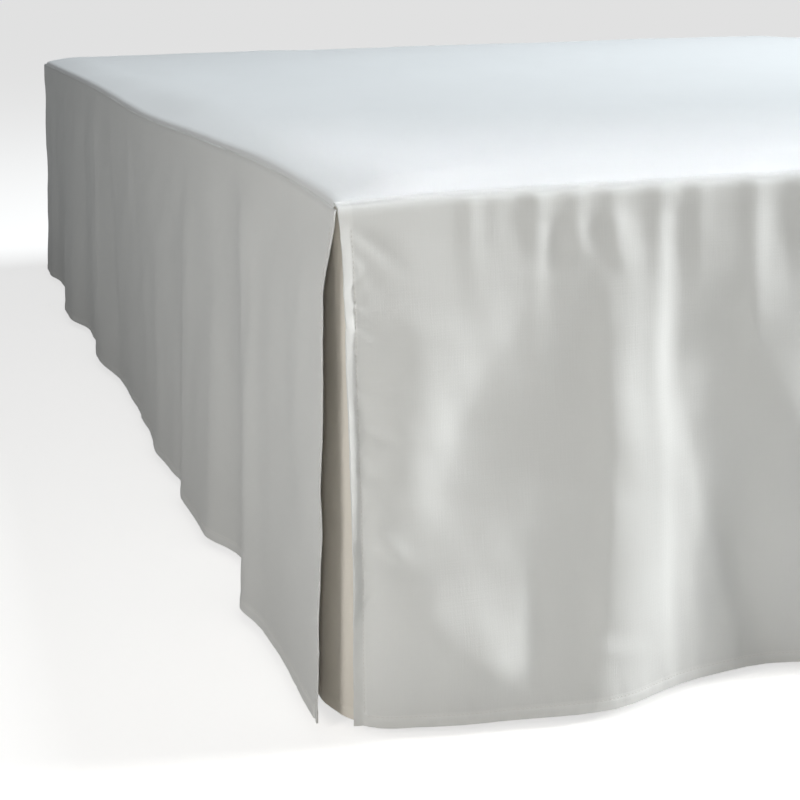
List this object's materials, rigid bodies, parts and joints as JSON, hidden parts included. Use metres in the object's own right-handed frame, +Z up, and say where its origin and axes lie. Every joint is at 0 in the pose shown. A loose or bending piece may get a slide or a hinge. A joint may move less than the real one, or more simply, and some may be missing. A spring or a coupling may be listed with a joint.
{
  "type": "bed skirt on a bed base",
  "caption": "Plain cotton bed skirt with flat panels, split foot corners and an underlap behind each split, hanging from a flat deck on a plain bed base.",
  "frame": {"origin": "on the floor under the middle of the base, at the foot of the centre leg", "axes": "+Z up, +Y towards the head end, which has no panel, and -Y towards the foot end, so that +X is on the right of someone who stands at the foot"},
  "size_m": [1.5841, 2.0644, 0.381],
  "materials": {
    "deck_cloth": "plain weave cotton, matt",
    "panel_cloth": "plain weave cotton, matt",
    "underlap_cloth": "plain weave cotton, matt",
    "base_cover": "plain woven cover, matt",
    "leg_wood": "satin"
  },
  "bodies": {
    "root": {"deck": "deck_cloth", "panel_left": "panel_cloth", "panel_foot": "panel_cloth", "panel_right": "panel_cloth", "underlap_left": "underlap_cloth", "underlap_right": "underlap_cloth", "foundation": "base_cover", "leg_front_left": "leg_wood", "leg_front_right": "leg_wood", "leg_back_left": "leg_wood", "leg_back_right": "leg_wood", "leg_centre": "leg_wood"}
  },
  "joints": []
}
